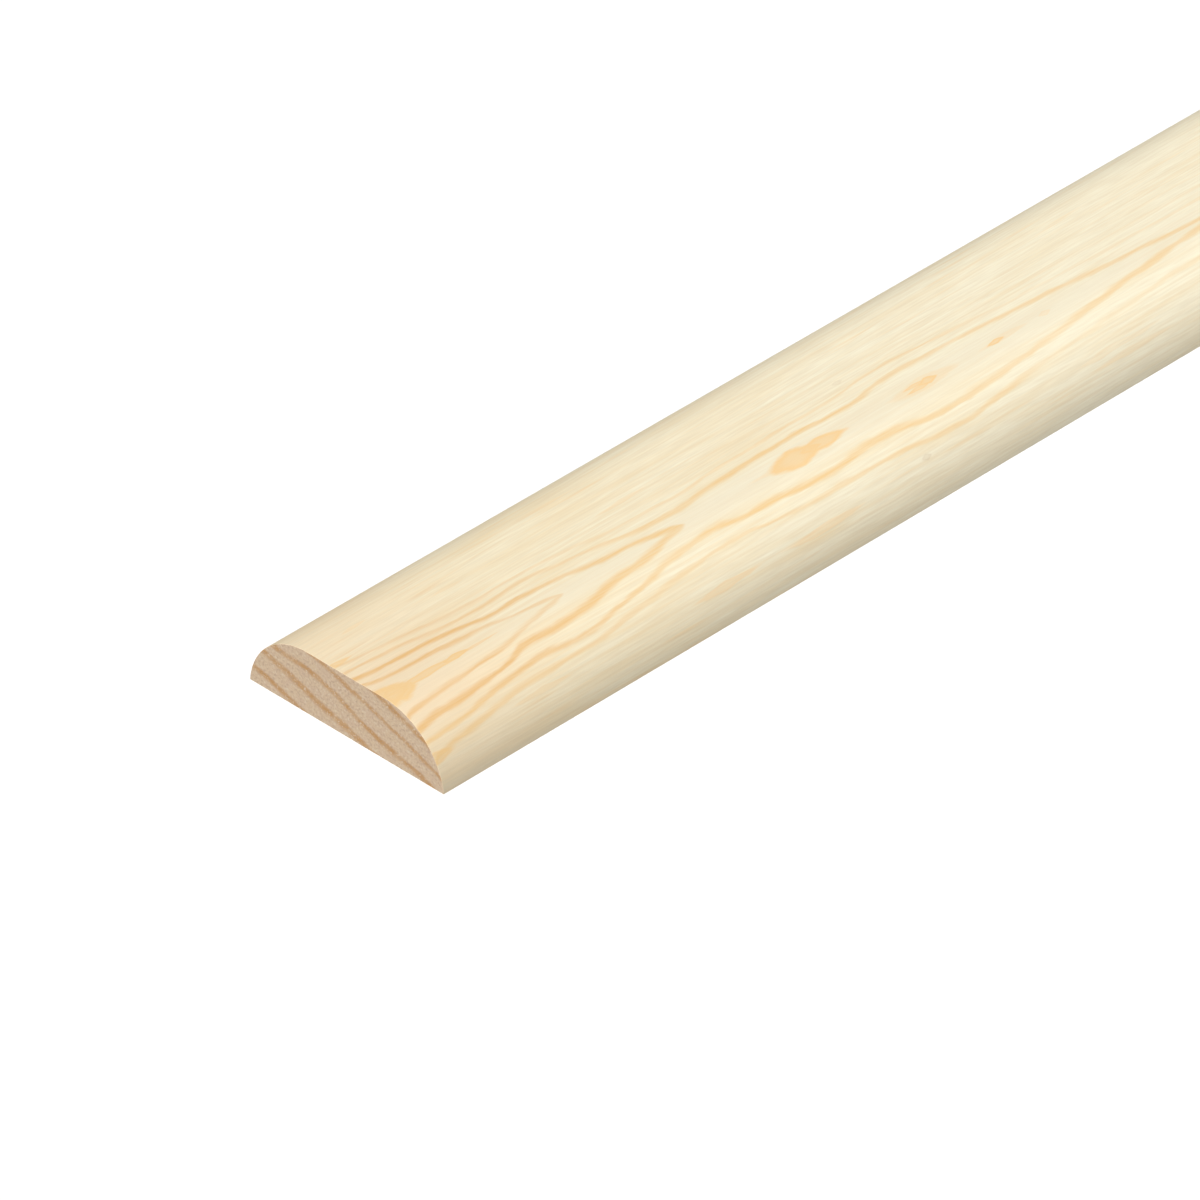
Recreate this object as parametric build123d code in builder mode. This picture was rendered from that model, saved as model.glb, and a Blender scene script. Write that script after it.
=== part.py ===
"""A D-shaped moulding: one planed length of pine with a flat back, round shoulders and a flat crown.

Frame: +X runs along the length, +Y across the width, +Z out of the flat back.
The origin is the middle of the back, which lies on the floor. Sizes are in millimetres.
"""

import os

from build123d import *

# Driving dimensions
length = 2400.0  # one stock length, sawn square at both ends
width = 33.0  # across the flat back
thickness = 9.0  # from the back to the crown
crown_width = 13.1  # the flat strip left between the two shoulders

# The moulding is one piece: its section, run out along the length
with BuildPart() as d_moulding:
    with BuildSketch(Plane.YZ) as section:
        with BuildLine() as outline:
            back = Line((-width / 2, 0), (width / 2, 0))
            crown = Line((crown_width / 2, thickness), (-crown_width / 2, thickness))
            # Each shoulder leaves the crown smoothly and ends in a sharp arris at the back
            left_shoulder = TangentArc(crown @ 1, back @ 0, tangent=crown % 1)
            right_shoulder = TangentArc(crown @ 0, back @ 1, tangent=crown % 0 * -1)
        make_face()
    extrude(amount=length / 2, both=True)

d_moulding.part.label = "d_moulding"
print("shoulder radius", round(left_shoulder.radius, 3), "section area", round(section.sketch.area, 2))

os.makedirs("parts", exist_ok=True)
export_step(d_moulding.part, "parts/d_moulding.step")
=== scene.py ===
# %% [markdown]
# # A D-shaped pine moulding
# The object is one planed length of pine trim: a flat back, two round shoulders and a flat crown.
# It lies on its back. +X runs along the length, +Y across the width and +Z out of the back.
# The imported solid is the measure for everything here, so its box and its crown are read first.

# %% Load the frame and read its sizes
import math

import bmesh
import bpy
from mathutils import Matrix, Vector


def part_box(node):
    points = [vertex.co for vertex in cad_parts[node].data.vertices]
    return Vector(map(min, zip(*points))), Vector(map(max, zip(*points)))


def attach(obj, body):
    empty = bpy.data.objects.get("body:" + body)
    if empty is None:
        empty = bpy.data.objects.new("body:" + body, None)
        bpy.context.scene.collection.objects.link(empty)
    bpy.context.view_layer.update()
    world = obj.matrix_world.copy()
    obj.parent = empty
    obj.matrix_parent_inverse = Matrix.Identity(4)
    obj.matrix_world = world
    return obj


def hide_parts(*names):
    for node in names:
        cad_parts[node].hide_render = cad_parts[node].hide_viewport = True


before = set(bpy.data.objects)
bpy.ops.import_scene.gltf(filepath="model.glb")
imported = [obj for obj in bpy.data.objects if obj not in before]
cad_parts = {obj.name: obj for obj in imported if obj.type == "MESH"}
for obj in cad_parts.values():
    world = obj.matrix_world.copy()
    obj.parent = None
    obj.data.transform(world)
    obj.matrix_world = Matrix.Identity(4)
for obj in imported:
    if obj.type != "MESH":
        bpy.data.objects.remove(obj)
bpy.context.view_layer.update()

low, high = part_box("d_moulding")
length = high.x - low.x
width = high.y - low.y
thickness = high.z - low.z
HAIR = 1e-5  # metres; two places nearer than this are the same place

crown_corners = [v.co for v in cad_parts["d_moulding"].data.vertices if v.co.z > high.z - HAIR]
half_crown = max(corner.y for corner in crown_corners)
overhang = width / 2 - half_crown
shoulder_radius = (overhang ** 2 + thickness ** 2) / (2 * thickness)
print("length", round(length, 4), "width", round(width, 4), "thickness", round(thickness, 4))
print("half crown", round(half_crown, 5), "shoulder radius", round(shoulder_radius, 5))

# %% [markdown]
# ## Camera
# The photograph looks down on the near end from one of its corners, through a long lens.
# The place and the two angles come from the straight edges of the moulding: its arrises meet far away,
# which fixes the lens, and the sawn end fixes how far off the camera stands.

# %% Camera
CAMERA_AZIMUTH = math.radians(-45.209)
CAMERA_ELEVATION = math.radians(35.555)
CAMERA_FROM_NEAR_END = Vector((-0.82927, -0.86575, 0.87652))
LENS_MM = 374.78
SENSOR_MM = 36.0
CLIP_END = 500.0  # metres, past the far corner of the floor

near_end = Vector((low.x, 0.0, low.z))
bpy.ops.object.select_all(action="DESELECT")
bpy.ops.object.camera_add(
    location=near_end + CAMERA_FROM_NEAR_END,
    rotation=(math.pi / 2 - CAMERA_ELEVATION, 0.0, CAMERA_AZIMUTH),
)
camera = bpy.context.active_object
camera.name = "camera"
camera.data.lens = LENS_MM
camera.data.sensor_width = SENSOR_MM
camera.data.clip_end = CLIP_END
bpy.context.scene.camera = camera
print("camera stands", round(CAMERA_FROM_NEAR_END.length, 3), "m from the near end")

# %% [markdown]
# ## Nodes in one line each
# A material is a long chain of small sums. A few helpers keep each node to one line: `add_node` makes a node
# and fills or links its inputs, `sums` makes a Math node, `ease` a smooth step from one value to another,
# and `blend_colours` a mix of two colours.

# %% Node helpers
def fill(tree, socket, value):
    if isinstance(value, bpy.types.NodeSocket):
        tree.links.new(value, socket)
    else:
        socket.default_value = value


def add_node(tree, kind, inputs=None, **settings):
    node = tree.nodes.new(kind)
    for name, value in settings.items():
        setattr(node, name, value)
    for name, value in (inputs or {}).items():
        fill(tree, node.inputs[name], value)
    return node


def sums(tree, operation, *values):
    inputs = dict(enumerate(values))
    return add_node(tree, "ShaderNodeMath", inputs, operation=operation).outputs[0]


def ease(tree, value, start, end, low_result=0.0, high_result=1.0):
    inputs = {"Value": value, "From Min": start, "From Max": end}
    inputs.update({"To Min": low_result, "To Max": high_result})
    node = add_node(tree, "ShaderNodeMapRange", inputs, interpolation_type="SMOOTHSTEP")
    return node.outputs["Result"]


def blend_colours(tree, share, first, second):
    node = add_node(tree, "ShaderNodeMix", data_type="RGBA")
    for socket, value in (("Factor", share), ("A", first), ("B", second)):
        in_use = [s for s in node.inputs if s.enabled and s.type in ("RGBA", "VALUE")]
        fill(tree, next(s for s in in_use if s.name == socket), value)
    return next(s for s in node.outputs if s.type == "RGBA")


# %% [markdown]
# ## Floor and light
# The photograph is a plain studio cut-out: white all round, lit from above and from the side of the sawn end.
# One broad sun gives that light evenly over the whole length. Two low fills light the far end
# and the far shoulder, which it leaves in shade, and a weak white sky does the rest.
# The floor is white to the camera and keeps its shadow. It throws only a little light back,
# so the lower part of each shoulder stays in shade as in the photograph.

# %% Floor
FLOOR_SIZE = 400.0
FLOOR_COLOUR = (0.80, 0.80, 0.80, 1.0)
FLOOR_BOUNCE = (0.10, 0.10, 0.10, 1.0)
FLOOR_LIFT = 0.24  # added to what the camera sees of the floor, so that it comes out white
WHITE = (1.0, 1.0, 1.0, 1.0)


def seen_by_camera(tree):
    """1 for what the camera sees, straight or in a mirror or through glass, and 0 for light on its way."""
    path = add_node(tree, "ShaderNodeLightPath")
    seen = sums(tree, "MAXIMUM", path.outputs["Is Camera Ray"], path.outputs["Is Glossy Ray"])
    return sums(tree, "MAXIMUM", seen, path.outputs["Is Transmission Ray"])


bpy.ops.object.select_all(action="DESELECT")
bpy.ops.mesh.primitive_plane_add(size=FLOOR_SIZE, location=(0.0, 0.0, low.z))
floor = bpy.context.active_object
floor.name = "floor"
floor_paint = bpy.data.materials.new("floor_paint")
floor_paint.use_nodes = True
tree = floor_paint.node_tree
tree.nodes.clear()
seen = seen_by_camera(tree)
lift = sums(tree, "MULTIPLY", seen, FLOOR_LIFT)
floor_colour = blend_colours(tree, seen, FLOOR_BOUNCE, FLOOR_COLOUR)
matt = add_node(tree, "ShaderNodeBsdfDiffuse", {"Color": floor_colour})
glow = add_node(tree, "ShaderNodeEmission", {"Color": WHITE, "Strength": lift})
both = add_node(tree, "ShaderNodeAddShader", {0: matt.outputs[0], 1: glow.outputs[0]})
add_node(tree, "ShaderNodeOutputMaterial", {"Surface": both.outputs[0]})
floor.data.materials.append(floor_paint)
print("floor", FLOOR_SIZE, "m square at z", round(low.z, 4))

# %% Light
SUNS = {
    "key_sun": ((-0.70, -0.375, 0.92), 30.0),
    "far_end_fill": ((0.45, 0.0, 0.04), 8.0),
    "far_shoulder_fill": ((0.0, 0.14, 0.01), 8.0),
}  # towards the light, as long as its share of full white, then its spread in degrees
SUN_STAND = 2.0  # how far out the lamps stand; a sun shines the same from anywhere
SKY_SHARE = 0.05

for name, (towards, spread) in SUNS.items():
    towards = Vector(towards)
    bpy.ops.object.select_all(action="DESELECT")
    turn = towards.to_track_quat("Z", "Y").to_euler()
    bpy.ops.object.light_add(type="SUN", location=SUN_STAND * towards, rotation=turn)
    sun = bpy.context.active_object
    sun.name = name
    sun.data.energy = math.pi * towards.length
    sun.data.angle = math.radians(spread)

sky = bpy.data.worlds.new("studio_sky")
bpy.context.scene.world = sky
sky.use_nodes = True
tree = sky.node_tree
tree.nodes.clear()
level = ease(tree, seen_by_camera(tree), 0.0, 1.0, SKY_SHARE, 1.0)
backdrop = add_node(tree, "ShaderNodeBackground", {"Color": WHITE, "Strength": level})
add_node(tree, "ShaderNodeOutputWorld", {"Surface": backdrop.outputs[0]})
bpy.context.scene.view_settings.view_transform = "Standard"
on_crown = sum(towards[2] for towards, spread in SUNS.values()) + SKY_SHARE
print("light on the crown", round(on_crown, 3), "of full white")

# %% [markdown]
# ## The moulded length
# A moulder starts from a sawn blank and runs it past a cutter that rounds both shoulders.
# The same steps work here: a box a little deeper than the moulding, a bevel as wide as the shoulder radius
# on its two upper long edges, and one flat cut that takes the back off.
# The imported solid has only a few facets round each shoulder, and this one has enough to look round close up.

# %% Blank
BLANK_SPARE = 0.003  # metres of blank below the back, which the flat cut takes off
blank_width = 2 * (half_crown + shoulder_radius)
blank_height = thickness + BLANK_SPARE

bpy.ops.object.select_all(action="DESELECT")
bpy.ops.mesh.primitive_cube_add(
    size=1.0,
    location=(0.0, 0.0, high.z - blank_height / 2),
    scale=(length, blank_width, blank_height),
)
moulding = bpy.context.active_object
moulding.name = "planed_moulding"
bpy.ops.object.transform_apply(location=True, rotation=True, scale=True)
print("blank", [round(side, 4) for side in moulding.dimensions])

# %% Round the shoulders and cut the back flat
SHOULDER_FACETS = 32
ROUND_PROFILE = 0.5  # the bevel's setting for an arc of a circle


def pick_edges(piece, wanted):
    """In edit mode, selects the edges whose two ends both satisfy wanted, and counts them."""
    bpy.ops.mesh.select_mode(type="EDGE")
    bpy.ops.mesh.select_all(action="DESELECT")
    mesh = bmesh.from_edit_mesh(piece.data)
    picked = [edge for edge in mesh.edges if wanted(edge.verts[0].co, edge.verts[1].co)]
    for edge in picked:
        edge.select_set(True)
    bmesh.update_edit_mesh(piece.data)
    return len(picked)


def on_crown_edge(a, b):
    return min(a.z, b.z) > high.z - HAIR and a.y * b.y > 0 and abs(a.x - b.x) > HAIR


bpy.ops.object.mode_set(mode="EDIT")
print("edges to round", pick_edges(moulding, on_crown_edge))
bpy.ops.mesh.bevel(offset=shoulder_radius, segments=SHOULDER_FACETS, profile=ROUND_PROFILE, affect="EDGES")
bpy.ops.mesh.select_all(action="SELECT")
bpy.ops.mesh.bisect(plane_co=(0.0, 0.0, low.z), plane_no=(0.0, 0.0, 1.0), use_fill=True, clear_inner=True)
bpy.ops.mesh.select_all(action="SELECT")
bpy.ops.mesh.remove_doubles(threshold=HAIR)
bpy.ops.mesh.normals_make_consistent(inside=False)
bpy.ops.object.mode_set(mode="OBJECT")
print("moulded", [round(side, 5) for side in moulding.dimensions], "faces", len(moulding.data.polygons))

# %% [markdown]
# ## Arrises
# A freshly sawn end is sharp but never razor sharp, and handling takes the last tenth of a millimetre off.
# A narrow bevel round both ends and along the two back edges does the same.
# The length is then cut into slices, which the map for baking needs further on.

# %% Ease the arrises
ARRIS_EASE = 0.00006
ARRIS_FACETS = 2


def on_arris(a, b):
    at_end = abs(a.x - b.x) < HAIR and abs(a.x) > length / 2 - HAIR
    at_back = max(a.z, b.z) < low.z + HAIR and abs(a.y - b.y) < HAIR
    return at_end or at_back


bpy.ops.object.mode_set(mode="EDIT")
print("arris edges", pick_edges(moulding, on_arris))
bpy.ops.mesh.bevel(offset=ARRIS_EASE, segments=ARRIS_FACETS, profile=ROUND_PROFILE, affect="EDGES")
bpy.ops.mesh.select_mode(type="VERT")
bpy.ops.mesh.select_all(action="DESELECT")
for corner in bmesh.from_edit_mesh(moulding.data).verts:
    corner.select_set(corner.co.z < low.z + HAIR)
bpy.ops.transform.resize(value=(1.0, 1.0, 0.0), center_override=(0.0, 0.0, low.z))
bpy.ops.object.mode_set(mode="OBJECT")
print("lowest point", round(min(corner.co.z for corner in moulding.data.vertices), 7))

# %% Cut the length into slices
SLICES = 48
SMOOTH_BELOW = math.radians(20.0)  # facets that meet at less than this are shaded as one


def runs_lengthwise(a, b):
    return abs(a.x - b.x) > length / 2


bpy.ops.object.mode_set(mode="EDIT")
print("long edges", pick_edges(moulding, runs_lengthwise))
bpy.ops.mesh.subdivide(number_cuts=SLICES - 1)
bpy.ops.mesh.select_all(action="DESELECT")
bpy.ops.object.mode_set(mode="OBJECT")
bpy.ops.object.shade_smooth_by_angle(angle=SMOOTH_BELOW)
print("faces", len(moulding.data.polygons), "size", [round(side, 5) for side in moulding.dimensions])

# %% [markdown]
# ## Unrolling the surface
# Grain on a moulded face follows the surface round the shoulders, so plain X, Y and Z are the wrong ruler.
# A UV map can hold a better one: how far along the length, and how far across the face by tape measure.
# On the back the tape lies flat. The sawn ends don't use this map, because rings there cross the section.

# %% Unroll the face and the back at true scale
FACE, BACK, ENDS = range(3)
SQUARELY = 0.9  # a face whose normal leans further than this along an axis faces that way
shoulder_centre = high.z - shoulder_radius


def girth(place):
    """Metres from the middle of the crown to a place on the moulded face, measured over the surface."""
    past_crown = max(abs(place.y) - half_crown, 0.0)
    turned = math.atan2(past_crown, place.z - shoulder_centre)
    return math.copysign(min(abs(place.y), half_crown) + shoulder_radius * turned, place.y)


def side_of(face):
    if abs(face.normal.x) > SQUARELY:
        return ENDS
    return BACK if face.normal.z < -SQUARELY else FACE


mesh = moulding.data
unrolled = mesh.uv_layers.new(name="unrolled")
for face in mesh.polygons:
    face.material_index = side_of(face)
    for corner in face.loop_indices:
        place = mesh.vertices[mesh.loops[corner].vertex_index].co
        across = girth(place) if face.material_index == FACE else place.y
        unrolled.data[corner].uv = (place.x - low.x, across)
counts = [sum(face.material_index == side for face in mesh.polygons) for side in (FACE, BACK, ENDS)]
print("faces on the moulded face, back and ends", counts)

# %% [markdown]
# ## A map for baking
# The library bakes the finish into one square picture. A plain unwrap would lay the whole length along
# one side of it, and the grain would be lost. Here the length is cut into three rows, one above the other.
# The grain runs along, so a millimetre across gets more of the picture than one along,
# and the slices next to the near end, where people look closest, are stretched. No material reads this map.

# %% Lay the sides out for baking
SLICES_IN_ROW = (12, 18, 18)
NEAR_SLICES = 3
NEAR_STRETCH = 3.3  # times the length that the other slices get
FACE_ROW = 0.207  # shares of the picture's height
BACK_ROW = 0.076
END_TALL = 0.096
END_WIDE = END_TALL * width / thickness
MAP_GAP = 0.005

slots = []
for row, count in enumerate(SLICES_IN_ROW):
    reached = 0.0
    for _ in range(count):
        span = NEAR_STRETCH if len(slots) < NEAR_SLICES else 1.0
        slots.append((row, reached, span))
        reached += span
longest_row = max(reached + span for row, reached, span in slots)
slice_length = length / SLICES
half_girth = girth(Vector((0.0, width / 2, low.z)))
first_back_row = MAP_GAP + len(SLICES_IN_ROW) * (FACE_ROW + MAP_GAP)
ends_row = first_back_row + len(SLICES_IN_ROW) * (BACK_ROW + MAP_GAP)


def place_on_map(face, place):
    if face.material_index == ENDS:
        facing = math.copysign(1.0, face.normal.x)
        left = MAP_GAP if facing < 0 else 2 * MAP_GAP + END_WIDE
        up = ends_row + (place.z - low.z) / thickness * END_TALL
        return left + (facing * place.y / width + 0.5) * END_WIDE, up
    number = int((face.center.x - low.x) / slice_length)
    row, start, span = slots[number]
    into_slice = (place.x - low.x) / slice_length - number
    along = MAP_GAP + (start + span * into_slice) / longest_row * (1.0 - 2 * MAP_GAP)
    if face.material_index == BACK:
        return along, first_back_row + row * (BACK_ROW + MAP_GAP) + (0.5 - place.y / width) * BACK_ROW
    return along, MAP_GAP + row * (FACE_ROW + MAP_GAP) + (girth(place) / half_girth + 1.0) / 2 * FACE_ROW


bake_map = mesh.uv_layers.new(name="OFBake")
for face in mesh.polygons:
    for corner in face.loop_indices:
        bake_map.data[corner].uv = place_on_map(face, mesh.vertices[mesh.loops[corner].vertex_index].co)
mesh.uv_layers.active = mesh.uv_layers["unrolled"]
print("longest row", round(longest_row, 2), "slices, top of the map", round(ends_row + END_TALL, 4))

# %% [markdown]
# ## A line of latewood
# Pine shows each growth ring as pale earlywood that darkens to a thin orange band of latewood
# and then stops short. On any cut face such a band is a line, softer on the side where the ring darkens.
# One small group draws it. It is told how far out the line runs, how far out this point is,
# and how thick and deep the line is. The face, the back and the ends all use it, each with lines of its own.

# %% Grain line group
DARKENING = (-0.95, -0.10)  # in thicknesses, before the line
STOPPING = (0.10, 0.70)  # past it


def new_group(name, inputs, outputs):
    group = bpy.data.node_groups.new(name, "ShaderNodeTree")
    for direction, names in (("INPUT", inputs), ("OUTPUT", outputs)):
        for socket in names:
            group.interface.new_socket(socket, in_out=direction, socket_type="NodeSocketFloat")
    start = group.nodes.new("NodeGroupInput").outputs
    end = group.nodes.new("NodeGroupOutput").inputs
    return group, start, end


def place_group(tree, group, **inputs):
    node = add_node(tree, "ShaderNodeGroup", node_tree=group)
    for name, value in inputs.items():
        fill(tree, node.inputs[name], value)
    return node.outputs


grain_line, given, result = new_group("grain_line", ["Out", "Line", "Thickness", "Depth"], ["Band"])
past = sums(grain_line, "SUBTRACT", given["Out"], given["Line"])
past = sums(grain_line, "DIVIDE", past, given["Thickness"])
darker = ease(grain_line, past, *DARKENING)
stopped = ease(grain_line, past, *STOPPING, 1.0, 0.0)
band = sums(grain_line, "MULTIPLY", darker, stopped)
grain_line.links.new(sums(grain_line, "MULTIPLY", band, given["Depth"]), result["Band"])
print("grain line group has", len(grain_line.nodes), "nodes")

# %% [markdown]
# ## Fibres
# Between the rings planed pine is a mass of long fibres: soft streaks about half a millimetre wide,
# finer ones on top, and here and there a short dash where a faint ring just shows. Noise stretched along
# the length gives all of them, and the broadest of it gives the slow drift of tone that every board has.

# %% Fibre group
STREAK_NOISE = (20.0, 0.52, 3.0)  # mm along, mm across, detail
FINE_NOISE = (5.0, 0.25, 2.0)
MOTTLE_NOISE = (18.0, 2.6, 2.0)
DASH_NOISE = (15.0, 0.75, 1.0)
USUAL_NOISE = (0.25, 0.75)  # noise seldom goes past these
PEAKS_OF_NOISE = (0.60, 0.78)


def stretched_noise(tree, along, across, grain, seed):
    """Noise with its own size along and across; the seed keeps it apart from the other noises."""
    long_mm, wide_mm, detail = grain
    place = add_node(tree, "ShaderNodeCombineXYZ", {
        "X": sums(tree, "DIVIDE", along, long_mm),
        "Y": sums(tree, "DIVIDE", across, wide_mm),
        "Z": seed,
    })
    inputs = {"Vector": place.outputs[0], "Scale": 1.0, "Detail": detail, "Roughness": 0.55}
    return add_node(tree, "ShaderNodeTexNoise", inputs).outputs[0]


fibres, given, result = new_group("fibres", ["Along", "Across"], ["Streak", "Fine", "Mottle", "Dash"])
for name, grain, seed, limits in (
    ("Streak", STREAK_NOISE, 3.7, USUAL_NOISE),
    ("Fine", FINE_NOISE, 9.1, USUAL_NOISE),
    ("Mottle", MOTTLE_NOISE, 17.3, USUAL_NOISE),
    ("Dash", DASH_NOISE, 14.6, PEAKS_OF_NOISE),
):
    noise = stretched_noise(fibres, given["Along"], given["Across"], grain, seed)
    fibres.links.new(ease(fibres, noise, *limits), result[name])
print("fibre group has", len(fibres.nodes), "nodes")

# %% [markdown]
# ## Cathedral grain
# Where the cutter skims the rings they show as nested pointed arches, each mirrored in the line
# of their points. So a ring is one curve: how far out from that line it runs, all along the length.
# Where it comes down to nothing the arch closes. Near the sawn end the curves are drawn
# after the photograph.

# %% Rings drawn near the sawn end
PHOTO_RUN_MM = 126.0  # the stretch that the photograph shows; some curves run on a little
LINE_RANGE_MM = (-3.0, 12.0)
DRAWN_RINGS = [
    [(0, 3.7), (2, 3.15), (7, 2.75), (14, 2.3), (17, 2.15), (22, 1.2), (27, 0.5), (29.2, 0.1), (33, -1.5),
     (126, -2.0)],
    [(0, 5.25), (3, 4.85), (8, 4.6), (14, 4.1), (17.5, 3.65), (20.5, 3.15), (25, 3.2), (31, 2.85),
     (36, 1.95), (43, 1.35), (47, 0.6), (49.5, 0.1), (53, -1.5), (126, -2.0)],
    [(0, 6.85), (7, 6.4), (14, 5.5), (21, 5.1), (28, 5.4), (34, 4.75), (41, 3.75), (46, 2.9), (49, 2.8),
     (53, 2.65), (56, 3.0), (60, 3.2), (72, 3.7), (81, 3.25), (91, 4.2), (104, 3.65), (113, 3.05),
     (126, 1.85), (150, -0.5)],
    [(0, 9.1), (2, 8.3), (6, 7.9), (12, 7.25), (16, 6.85), (22, 6.6), (28, 6.65), (34, 6.25), (38, 5.85),
     (44, 5.2), (55, 4.75), (60, 5.3), (69, 5.5), (82, 5.7), (90, 6.3), (101, 5.75), (110, 5.0), (126, 4.3),
     (160, 2.6)],
]  # mm along, mm out
OUTER_SPACING_MM = 2.0  # between the rings outside the drawn ones


def drawn_curve(tree, ruler, points, bottom, top):
    """A drawn curve through points of (mm on the ruler, value), with values between bottom and top."""
    start, end = points[0][0], points[-1][0]
    share = sums(tree, "DIVIDE", sums(tree, "SUBTRACT", ruler, start), end - start)
    node = add_node(tree, "ShaderNodeFloatCurve", {"Value": share})
    curve = node.mapping.curves[0]
    for step, (mm, value) in enumerate(points):
        spot = ((mm - start) / (end - start), (value - bottom) / (top - bottom))
        if step in (0, len(points) - 1):
            curve.points[0 if step == 0 else -1].location = spot
        else:
            curve.points.new(*spot)
    node.mapping.extend = "HORIZONTAL"
    node.mapping.update()
    return sums(tree, "MULTIPLY_ADD", node.outputs[0], top - bottom, bottom)


def drawn_rings(tree, along, count):
    lines = [drawn_curve(tree, along, points, *LINE_RANGE_MM) for points in DRAWN_RINGS]
    while len(lines) < count:
        lines.append(sums(tree, "ADD", lines[-1], OUTER_SPACING_MM))
    return lines


print("rings drawn by hand", len(DRAWN_RINGS), "over", PHOTO_RUN_MM, "mm")

# %% [markdown]
# Past the photograph the rings wander by themselves. Along the line of the points the number of rings
# rises and falls slowly, and a ring runs further out the more it is above that number.
# Where the number passes a whole one, an arch closes or a new one opens.

# %% Rings that wander along the rest
RING_NUMBER = (230.0, 0.2, 4.0)  # mm from one swing to the next, then the lowest and the highest value
NUMBER_RIPPLE = (36.0, -0.2, 0.2)
RING_SPACING_MM = (80.0, 1.5, 2.3)
BLUNTNESS = (150.0, 0.6, 3.4)  # the higher, the rounder the point of an arch
SINKING = 2.0  # spacings that a ring goes under for each one it is below the number


def slow_noise(tree, along, swing, seed):
    """A value that wanders along the length, between the two values in swing."""
    size_mm, low_value, high_value = swing
    turns = sums(tree, "ADD", sums(tree, "DIVIDE", along, size_mm), seed)
    inputs = {"W": turns, "Scale": 1.0, "Detail": 1.0}
    noise = add_node(tree, "ShaderNodeTexNoise", inputs, noise_dimensions="1D").outputs[0]
    inputs = {"Value": noise, "From Min": USUAL_NOISE[0], "From Max": USUAL_NOISE[1]}
    inputs.update({"To Min": low_value, "To Max": high_value})
    return add_node(tree, "ShaderNodeMapRange", inputs).outputs["Result"]


def wandering_rings(tree, along, count, seed):
    number = slow_noise(tree, along, RING_NUMBER, seed)
    number = sums(tree, "ADD", number, slow_noise(tree, along, NUMBER_RIPPLE, seed + 1.3))
    spacing = slow_noise(tree, along, RING_SPACING_MM, seed + 2.1)
    bluntness = slow_noise(tree, along, BLUNTNESS, seed + 3.4)
    lines = []
    for ring in range(1, count + 1):
        above = sums(tree, "SUBTRACT", float(ring), number)
        over = sums(tree, "MAXIMUM", above, 0.0)
        under = sums(tree, "MINIMUM", above, 0.0)
        climb = sums(tree, "SQRT", sums(tree, "MULTIPLY", over, sums(tree, "ADD", over, bluntness)))
        lines.append(sums(tree, "MULTIPLY", sums(tree, "MULTIPLY_ADD", under, SINKING, climb), spacing))
    return lines


def mix_values(tree, share, first, second):
    gap = sums(tree, "SUBTRACT", second, first)
    return sums(tree, "MULTIPLY_ADD", gap, share, first)


print("the number of rings swings about every", RING_NUMBER[0], "mm")

# %% [markdown]
# ## Lozenges
# Where a ring only just breaks the surface it shows as a lone pointed lozenge, and where the saw cuts
# through one it is left as a patch on the arris. Each is a small soft shape of its own, so one group draws
# a lozenge and the material places it wherever the wood has one.

# %% Lozenge group
LOZENGE_TRAITS = ("Middle", "Offset", "Half Length", "Half Width", "Depth")
ALONG_POWER = 1.2  # the nearer to 1, the sharper the points
ASIDE_POWER = 1.5
LOZENGE_EDGE = (0.6, 1.05)  # how far out it fades, from 0 in its middle to 1 on its outline
LOZENGE_MIDDLE = (0.1, 0.65)
MIDDLE_DEPTH = 0.74  # the middle is a little paler than the rim

lozenge, given, result = new_group("lozenge", ["Along", "Aside", "Frayed", *LOZENGE_TRAITS], ["Mask"])
ahead = sums(lozenge, "SUBTRACT", given["Along"], given["Middle"])
ahead = sums(lozenge, "ABSOLUTE", sums(lozenge, "DIVIDE", ahead, given["Half Length"]))
beside = sums(lozenge, "SUBTRACT", given["Aside"], given["Offset"])
beside = sums(lozenge, "ABSOLUTE", sums(lozenge, "DIVIDE", beside, given["Half Width"]))
ahead = sums(lozenge, "POWER", ahead, ALONG_POWER)
reach = sums(lozenge, "ADD", ahead, sums(lozenge, "POWER", beside, ASIDE_POWER))
reach = sums(lozenge, "ADD", reach, given["Frayed"])
body = sums(lozenge, "MULTIPLY", ease(lozenge, reach, *LOZENGE_EDGE, 1.0, 0.0), given["Depth"])
body = sums(lozenge, "MULTIPLY", body, ease(lozenge, reach, *LOZENGE_MIDDLE, MIDDLE_DEPTH, 1.0))
lozenge.links.new(body, result["Mask"])
print("lozenge group has", len(lozenge.nodes), "nodes")

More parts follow.
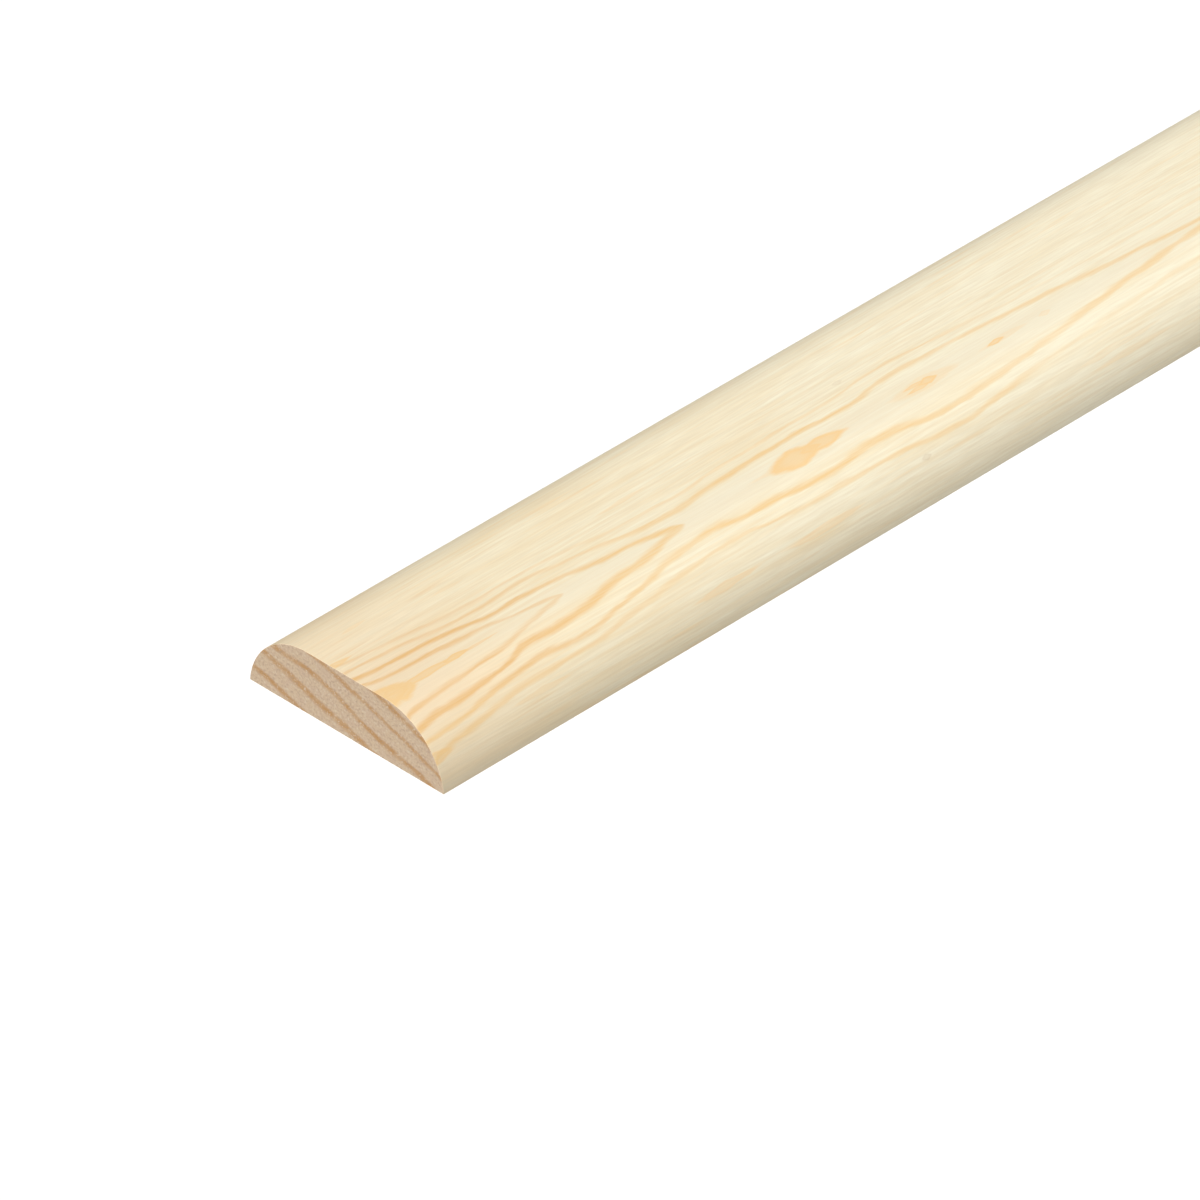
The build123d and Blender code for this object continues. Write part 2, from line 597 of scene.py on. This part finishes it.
# %% Lozenges of the face
FACE_LOZENGES = [
    (-0.5, 0.0, 6.0, 2.4, 0.88),  # the first two are the patch at the sawn end
    (2.0, -0.2, 3.4, 2.0, 0.85),
    (7.0, 0.05, 9.5, 0.72, 0.82),
    (11.9, 0.1, 2.7, 0.62, 0.92),
    (14.5, 0.05, 5.0, 0.28, 0.55),
    (0.3, 8.9, 3.2, 0.65, 0.70),
    (0.3, -10.0, 3.6, 0.95, 0.70),
    (69.9, 0.0, 5.4, 2.00, 0.95),
    (74.4, 0.05, 5.0, 1.35, 0.95),
    (70.5, 0.05, 9.5, 0.8, 0.30),
    (91.2, 0.45, 2.6, 0.42, 0.88),
    (91.4, -0.35, 2.8, 0.42, 0.88),
    (93.2, 0.05, 1.9, 0.80, 0.95),
    (92.2, 0.05, 7.0, 1.5, 0.30),
    (105.2, 0.0, 1.9, 0.50, 0.95),
    (106.5, 0.0, 5.0, 0.60, 0.25),
    (114.0, 0.0, 1.2, 0.50, 0.30),
    (7.4, 12.9, 2.4, 0.32, 0.30),
    (21.0, 10.8, 3.0, 0.35, 0.20),
    (48.5, 8.6, 5.0, 0.45, 0.25),
    (18.5, -9.4, 6.0, 0.45, 0.30),
    (49.5, -9.8, 6.5, 0.60, 0.46),
    (66.5, -9.8, 8.0, 0.60, 0.42),
    (119.0, -8.8, 9.0, 0.45, 0.20),
    (121.0, -10.1, 8.0, 0.45, 0.20),
]  # mm along and aside, half length, half width, then depth
PIN_SPECKS = [(85.0, 7.6, 1.0, 0.42, 0.15), (85.0, -8.6, 1.0, 0.42, 0.22)]


def lozenges(tree, along, aside, frayed, rows):
    found = 0.0
    for row in rows:
        traits = dict(zip(LOZENGE_TRAITS, row))
        spot = place_group(tree, lozenge, Along=along, Aside=aside, Frayed=frayed, **traits)
        found = sums(tree, "MAXIMUM", found, spot["Mask"])
    return found


print("the face has", len(FACE_LOZENGES), "lozenges and", len(PIN_SPECKS), "specks")

# %% [markdown]
# ## Latewood on a planed side
# No two rings look alike. Each has a thickness near the sawn end and another further on, and its depth along
# the length is a drawn curve too. The arches' points lie to one side of the crown, stray a little along
# the length, and have the rings wider apart on one side of them. The lines swell, thin out and break up
# with the fibres, and outside the arches they are lost among short dashes.

# %% How each ring looks
# Each row: mm thick near the end and further on, mm to that change, shares of the depth towards +Y
# before and after it, and the drawn depths of (mm along, share)
RINGS = [
    (0.66, 0.66, 18.0, (1.0, 1.0), [(0, 0.95), (6, 0.88), (14, 0.88), (20, 0.56), (27, 0.66), (130, 0.45),
                                    (170, 0.8)]),
    (0.70, 0.97, 23.0, (1.0, 1.0), [(0, 1.0), (170, 1.0)]),
    (0.68, 0.78, 44.0, (0.72, 1.0), [(0, 0.9), (20, 0.84), (38, 0.78), (50, 1.0), (80, 1.0), (92, 0.78),
                                     (130, 0.78), (170, 1.0)]),
    (0.62, 0.50, 46.0, (0.62, 0.8), [(0, 0.95), (8, 0.82), (20, 0.7), (48, 0.56), (66, 0.7), (100, 0.68),
                                     (110, 0.3), (170, 0.7)]),
    (0.50, 0.60, 110.0, (1.0, 1.0), [(0, 0.12), (120, 0.12), (170, 0.5)]),
    (0.45, 0.45, 150.0, (1.0, 1.0), [(0, 0.1), (130, 0.1), (170, 0.6)]),
    (0.45, 0.45, 150.0, (1.0, 1.0), [(0, 0.05), (130, 0.05), (170, 0.45)]),
    (0.45, 0.45, 150.0, (1.0, 1.0), [(0, 0.05), (130, 0.05), (170, 0.5)]),
    (0.45, 0.45, 150.0, (1.0, 1.0), [(0, 0.05), (130, 0.05), (170, 0.4)]),
]
THICKENING_MM = 8.0  # half the run of the change
CROSSING_MM = 1.0  # half the run from one side of the points to the other


def grain_bands(tree, along, aside, out, lines, swelling, patchy):
    """The deepest of the ring lines at each point."""
    found = 0.0
    for line, (thin, thick, change, left_shares, depths) in zip(lines, RINGS):
        changing = (change - THICKENING_MM, change + THICKENING_MM)
        line_thickness = sums(tree, "MULTIPLY", ease(tree, along, *changing, thin, thick), swelling)
        left_share = ease(tree, along, *changing, *left_shares)
        depth = sums(tree, "MULTIPLY", drawn_curve(tree, along, depths, 0.0, 1.0), patchy)
        depth = sums(tree, "MULTIPLY", depth, ease(tree, aside, -CROSSING_MM, CROSSING_MM, 1.0, left_share))
        band = place_group(tree, grain_line, Out=out, Line=line, Thickness=line_thickness, Depth=depth)
        found = sums(tree, "MAXIMUM", found, band["Band"])
    return found


print("rings on each planed side", len(RINGS))

# %% Where the rings run
HEART_MM = -6.62  # across, where the points of the arches lie on the face
BACK_HEART_MM = 3.0
DRIFT_MM = (480.0, -6.0, 6.0)  # mm from one swing to the next, then how far the points stray to either side
FAR_SIDE_STRETCH = 1.16  # the rings lie wider apart towards -Y
HANDOVER_MM = (PHOTO_RUN_MM - 6.0, PHOTO_RUN_MM + 110.0)  # where drawn rings turn into wandering ones
SWERVE_NOISE = (6.0, 2.4, 3.0)
SWERVE_MM = 0.8


def ring_rulers(tree, along, across, heart_mm, drawn, seed):
    """The ring lines, and how far each point is to the side of the arches' points and out from them."""
    lines = wandering_rings(tree, along, len(RINGS), seed)
    drift = slow_noise(tree, along, DRIFT_MM, seed + 5.7)
    if drawn:
        beyond = ease(tree, along, *HANDOVER_MM)
        near_lines = drawn_rings(tree, along, len(RINGS))
        lines = [mix_values(tree, beyond, *pair) for pair in zip(near_lines, lines)]
        drift = sums(tree, "MULTIPLY", drift, beyond)
    swerve = stretched_noise(tree, along, across, SWERVE_NOISE, seed + 5.3)
    swerve = sums(tree, "MULTIPLY", sums(tree, "SUBTRACT", swerve, 0.5), SWERVE_MM)
    aside = sums(tree, "SUBTRACT", sums(tree, "ADD", across, swerve), sums(tree, "ADD", drift, heart_mm))
    out = sums(tree, "MAXIMUM", aside, sums(tree, "DIVIDE", aside, -FAR_SIDE_STRETCH))
    return lines, aside, out


# %% How much latewood shows
SWELL_NOISE = (7.0, 2.0, 2.0)
SWELL_LIMITS = (0.2, 0.8)
SWELL_SHARES = (0.6, 1.4)  # of a line's own thickness
PATCH_NOISE = (18.0, 1.6, 2.0)
PATCH_LIMITS = (0.2, 0.6)
PATCH_SHARES = (0.65, 1.0)
BETWEEN_FIBRES = 0.78  # what is left of a line between the fine fibres
FADING_MM = (8.0, 11.0)  # out from the points, where the lines fade
FADED_SHARE = 0.25
DASHES_MM = (5.0, 8.0)  # out from the points, where the dashes begin
DASH_SHARE = 0.30


def latewood_mask(tree, along, across, lines, aside, out, strands, seed):
    """How much latewood shows at each point, from the lines of the rings and the dashes outside them."""
    swell = stretched_noise(tree, along, across, SWELL_NOISE, seed + 4.4)
    swelling = ease(tree, swell, *SWELL_LIMITS, *SWELL_SHARES)
    patch = stretched_noise(tree, along, across, PATCH_NOISE, seed + 8.2)
    patchy = ease(tree, patch, *PATCH_LIMITS, *PATCH_SHARES)
    patchy = sums(tree, "MULTIPLY", patchy, ease(tree, strands["Fine"], 0.0, 1.0, BETWEEN_FIBRES, 1.0))
    patchy = sums(tree, "MULTIPLY", patchy, ease(tree, out, *FADING_MM, 1.0, FADED_SHARE))
    band = grain_bands(tree, along, aside, out, lines, swelling, patchy)
    dashes = sums(tree, "MULTIPLY", strands["Dash"], ease(tree, out, *DASHES_MM, 0.0, DASH_SHARE))
    return sums(tree, "MAXIMUM", band, dashes)


# %% [markdown]
# ## Planed pine
# New pine is cream with a warm cast, and its latewood is a clear orange tan. It is matt, with a faint sheen.
# Near the sawn end the wood is a little peachy and its lines are browner, and further on both are paler.
# The streaks and the mottle move the wood between pale and warm, and the fine fibres shade it.

# %% Tones between the rings
PALE_WOOD = (0.960, 0.886, 0.680, 1.0)
WARM_WOOD = (0.895, 0.735, 0.475, 1.0)
PEACH_WOOD = (0.895, 0.705, 0.480, 1.0)
HEART_WOOD = (0.895, 0.805, 0.615, 1.0)
FIBRE_SHADE = (0.780, 0.660, 0.460, 1.0)
WARM_RUN_MM = 120.0
WARM_SHARES = (0.16, -0.36)  # at the sawn end and past that run; the streaks and the mottle add theirs
STREAK_SHARE = 0.66
MOTTLE_SHARE = 0.34
PEACH_RUN_MM = 30.0
PEACH_SHARE = 0.85  # at the sawn end
PEACH_OUT_MM = (3.0, 9.0)  # out from the points, where the peach falls to the share below
PEACH_LEFT = 0.5
FIBRE_OUT_MM = (2.0, 9.0)
FIBRE_SHARES = (0.33, 0.44)  # near the points and outside
HEART_OUT_MM = (0.5, 3.5)
HEART_SHARE = 0.48
HEART_RUN_MM = (4.0, 40.0)
HEART_NEAR_END = 0.35  # of that share, at the sawn end


def pine_tone(tree, along, out, strands):
    """The colour of the wood between the rings."""
    warm = ease(tree, along, 0.0, WARM_RUN_MM, *WARM_SHARES)
    warm = sums(tree, "MULTIPLY_ADD", strands["Streak"], STREAK_SHARE, warm)
    warm = sums(tree, "MULTIPLY_ADD", strands["Mottle"], MOTTLE_SHARE, warm)
    wood = blend_colours(tree, warm, PALE_WOOD, WARM_WOOD)
    peachy = ease(tree, along, 0.0, PEACH_RUN_MM, PEACH_SHARE, 0.0)
    peachy = sums(tree, "MULTIPLY", peachy, ease(tree, out, *PEACH_OUT_MM, 1.0, PEACH_LEFT))
    wood = blend_colours(tree, peachy, wood, PEACH_WOOD)
    shaded = sums(tree, "MULTIPLY", strands["Fine"], ease(tree, out, *FIBRE_OUT_MM, *FIBRE_SHARES))
    wood = blend_colours(tree, shaded, wood, FIBRE_SHADE)
    by_heart = ease(tree, out, *HEART_OUT_MM, HEART_SHARE, 0.0)
    by_heart = sums(tree, "MULTIPLY", by_heart, ease(tree, along, *HEART_RUN_MM, HEART_NEAR_END, 1.0))
    return blend_colours(tree, by_heart, wood, HEART_WOOD)


# %% Planed face and back
MM_IN_METRE = 1000.0
LATEWOOD = (0.885, 0.625, 0.310, 1.0)
LATEWOOD_NEAR_END = (0.815, 0.510, 0.220, 1.0)
LOZENGE_WOOD = (0.940, 0.650, 0.320, 1.0)
LOZENGE_NEAR_END = (0.895, 0.605, 0.280, 1.0)
SPECK_WOOD = (0.560, 0.380, 0.210, 1.0)
BRIGHTENING_MM = (10.0, 50.0)  # along, where the lines turn from brown to orange
BRIGHT_SIDE_MM = (-8.0, -5.0)  # aside; below this they are nearly as orange at the sawn end too
BRIGHT_SIDE_SHARE = 0.8
FRAY_NOISE = (2.4, 0.7, 2.0)
FRAY = 0.45
EARLYWOOD_ROUGH = 0.64
LATEWOOD_ROUGH = 0.52
LINE_HEIGHT = 0.6  # against 1 for the fine fibres
FIBRE_RELIEF = 0.12
FIBRE_HEIGHT = 0.0001  # metres
PLANED_SHEEN = 0.04


def new_material(name):
    material = bpy.data.materials.new(name)
    material.use_nodes = True
    material.node_tree.nodes.clear()
    return material, material.node_tree


def planed_pine(name, heart_mm, drawn, seed):
    material, tree = new_material(name)
    tape = add_node(tree, "ShaderNodeUVMap", uv_map="unrolled")
    inputs = {0: tape.outputs[0], "Scale": MM_IN_METRE}
    in_mm = add_node(tree, "ShaderNodeVectorMath", inputs, operation="SCALE")
    along, across, _ = add_node(tree, "ShaderNodeSeparateXYZ", {0: in_mm.outputs[0]}).outputs
    strands = place_group(tree, fibres, Along=along, Across=across)
    lines, aside, out = ring_rulers(tree, along, across, heart_mm, drawn, seed)
    band = latewood_mask(tree, along, across, lines, aside, out, strands, seed)

    brightening = ease(tree, along, *BRIGHTENING_MM)
    bright_side = ease(tree, aside, *BRIGHT_SIDE_MM, BRIGHT_SIDE_SHARE, 0.0)
    bright = sums(tree, "MAXIMUM", brightening, bright_side)
    latewood = blend_colours(tree, bright, LATEWOOD_NEAR_END, LATEWOOD)
    wood = blend_colours(tree, band, pine_tone(tree, along, out, strands), latewood)
    if drawn:
        frayed = stretched_noise(tree, along, across, FRAY_NOISE, seed + 6.6)
        frayed = sums(tree, "MULTIPLY", sums(tree, "SUBTRACT", frayed, 0.5), FRAY)
        spots = lozenges(tree, along, aside, frayed, FACE_LOZENGES)
        spot_wood = blend_colours(tree, brightening, LOZENGE_NEAR_END, LOZENGE_WOOD)
        wood = blend_colours(tree, spots, wood, spot_wood)
        specks = lozenges(tree, along, aside, frayed, PIN_SPECKS)
        wood = blend_colours(tree, specks, wood, SPECK_WOOD)
        band = sums(tree, "MAXIMUM", band, spots)
    rough = ease(tree, band, 0.0, 1.0, EARLYWOOD_ROUGH, LATEWOOD_ROUGH)
    height = sums(tree, "MULTIPLY_ADD", band, LINE_HEIGHT, strands["Fine"])
    inputs = {"Height": height, "Strength": FIBRE_RELIEF, "Distance": FIBRE_HEIGHT}
    relief = add_node(tree, "ShaderNodeBump", inputs)
    shader = add_node(tree, "ShaderNodeBsdfPrincipled", {
        "Base Color": wood,
        "Roughness": rough,
        "Normal": relief.outputs[0],
        "Specular IOR Level": PLANED_SHEEN,
    })
    add_node(tree, "ShaderNodeOutputMaterial", {"Surface": shader.outputs[0]})
    print(name, "has", len(tree.nodes), "nodes")
    return material


face_pine = planed_pine("planed_pine_face", HEART_MM, True, 2.0)
back_pine = planed_pine("planed_pine_back", BACK_HEART_MM, False, 21.0)

# %% [markdown]
# ## Sawn ends
# The saw shows the rings as shallow arcs, because the heart of the tree lay far below this strip.
# They aren't true circles: they wander a little, the inner ones rise towards one side,
# and one runs in slow waves. End grain drinks up light: the same wood is duller and browner here,
# and speckled with the cut ends of the fibres.

# %% Where the rings run on the sawn ends
PITH_MM = (41.8, -139.6)  # across and up from the middle of the back
FIRST_RING_MM = 143.7
RING_DRIFT = 0.0006  # mm outwards for each mm along, so that the two ends differ
END_WANDER_NOISE = (5.0, 3.0, 3.0)  # mm across, mm up, detail
END_WANDER_MM = 0.9
RISE_MM = 0.7  # of the inner rings, towards +Y
RISE_ACROSS_MM = (4.0, 16.0)
RISE_OUT_MM = (3.0, 6.0)  # out from the first ring, where the rise dies away
WAVY_RING_MM = 6.4  # out from the first ring
WAVE_MM = 0.38
WAVE_CREST_MM = 3.8  # across
WAVE_RADIAN_MM = 2.83  # across, for each radian of the wave
WAVE_REACH_MM = (0.8, 2.2)  # away from the wavy ring, where the waves die away


def end_ruler(tree, along, across, up):
    """Mm out from the first ring, on a sawn end."""
    aside = sums(tree, "SUBTRACT", across, PITH_MM[0])
    above = sums(tree, "SUBTRACT", up, PITH_MM[1])
    squared = sums(tree, "MULTIPLY_ADD", aside, aside, sums(tree, "MULTIPLY", above, above))
    out = sums(tree, "SUBTRACT", sums(tree, "SQRT", squared), FIRST_RING_MM)
    from_near_end = sums(tree, "ADD", along, length / 2 * MM_IN_METRE)
    out = sums(tree, "MULTIPLY_ADD", from_near_end, RING_DRIFT, out)
    wander = stretched_noise(tree, across, up, END_WANDER_NOISE, 1.9)
    out = sums(tree, "ADD", out, sums(tree, "MULTIPLY", sums(tree, "SUBTRACT", wander, 0.5), END_WANDER_MM))
    rise = ease(tree, across, *RISE_ACROSS_MM, 0.0, RISE_MM)
    rise = sums(tree, "MULTIPLY", rise, ease(tree, out, *RISE_OUT_MM, 1.0, 0.0))
    out = sums(tree, "SUBTRACT", out, rise)
    off_wave = sums(tree, "ABSOLUTE", sums(tree, "SUBTRACT", out, WAVY_RING_MM))
    wave = sums(tree, "DIVIDE", sums(tree, "SUBTRACT", across, WAVE_CREST_MM), WAVE_RADIAN_MM)
    tall = ease(tree, off_wave, *WAVE_REACH_MM, WAVE_MM, 0.0)
    wave = sums(tree, "MULTIPLY", sums(tree, "COSINE", wave), tall)
    return sums(tree, "SUBTRACT", out, wave)


# %% Sawn ends
END_EARLYWOOD = (0.785, 0.600, 0.410, 1.0)
END_LATEWOOD = (0.630, 0.350, 0.145, 1.0)
END_FIBRE_DARK = (0.590, 0.420, 0.300, 1.0)
END_FIBRE_PALE = (0.850, 0.720, 0.560, 1.0)
END_BLUSH = (0.740, 0.545, 0.400, 1.0)
END_RINGS = [
    (-3.65, 0.74, 0.85),
    (-0.15, 0.88, 1.0),
    (3.3, 1.10, 1.0),
    (6.4, 0.86, 1.0),
    (9.35, 0.70, 0.9),
    (12.1, 0.82, 1.0),
    (14.8, 0.65, 0.85),
]  # mm out from the first ring, mm thick, depth
BLOTCH_NOISE = (1.6, 1.1, 2.0)
END_PATCH_LIMITS = (0.25, 0.65)
END_PATCH_SHARES = (0.55, 1.0)
BLUSH_LIMITS = (0.3, 0.7)
BLUSH_SHARE = 0.5
SPECKLE_NOISE = (0.34, 0.34, 2.0)
PALE_SPECKLE = (0.25, 0.48)
DARK_SPECKLE = (0.48, 0.75)
SPECKLE_SHARE = 0.75
SAWN_RELIEF = 0.35
SAWN_HEIGHT = 0.0002  # metres
SAWN_ROUGH = 0.85
SAWN_SHEEN = 0.1


def sawn_pine(name):
    material, tree = new_material(name)
    place = add_node(tree, "ShaderNodeTexCoord").outputs["Object"]
    in_mm = add_node(tree, "ShaderNodeVectorMath", {0: place, "Scale": MM_IN_METRE}, operation="SCALE")
    along, across, up = add_node(tree, "ShaderNodeSeparateXYZ", {0: in_mm.outputs[0]}).outputs
    out = end_ruler(tree, along, across, up)
    band = 0.0
    for line, line_thickness, depth in END_RINGS:
        ring = place_group(tree, grain_line, Out=out, Line=line, Thickness=line_thickness, Depth=depth)
        band = sums(tree, "MAXIMUM", band, ring["Band"])
    blotch = stretched_noise(tree, across, up, BLOTCH_NOISE, 12.4)
    band = sums(tree, "MULTIPLY", band, ease(tree, blotch, *END_PATCH_LIMITS, *END_PATCH_SHARES))

    speckle = stretched_noise(tree, across, up, SPECKLE_NOISE, 6.2)
    wood = blend_colours(tree, ease(tree, blotch, *BLUSH_LIMITS, 0.0, BLUSH_SHARE), END_EARLYWOOD, END_BLUSH)
    wood = blend_colours(tree, band, wood, END_LATEWOOD)
    wood = blend_colours(tree, ease(tree, speckle, *DARK_SPECKLE, 0.0, SPECKLE_SHARE), wood, END_FIBRE_DARK)
    wood = blend_colours(tree, ease(tree, speckle, *PALE_SPECKLE, SPECKLE_SHARE, 0.0), wood, END_FIBRE_PALE)
    inputs = {"Height": speckle, "Strength": SAWN_RELIEF, "Distance": SAWN_HEIGHT}
    relief = add_node(tree, "ShaderNodeBump", inputs)
    shader = add_node(tree, "ShaderNodeBsdfPrincipled", {
        "Base Color": wood,
        "Roughness": SAWN_ROUGH,
        "Normal": relief.outputs[0],
        "Specular IOR Level": SAWN_SHEEN,
    })
    add_node(tree, "ShaderNodeOutputMaterial", {"Surface": shader.outputs[0]})
    print(name, "has", len(tree.nodes), "nodes")
    return material


end_pine = sawn_pine("sawn_pine_end")

# %% [markdown]
# ## Dressing
# The three finishes go on in the order of the sides that the mesh was sorted into.
# The piece stands in for the imported solid, which is hidden, and is attached to the root body.

# %% Dress the moulding
for material in (face_pine, back_pine, end_pine):
    moulding.data.materials.append(material)
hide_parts("d_moulding")
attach(moulding, "root")
print("materials", [m.name for m in moulding.data.materials])
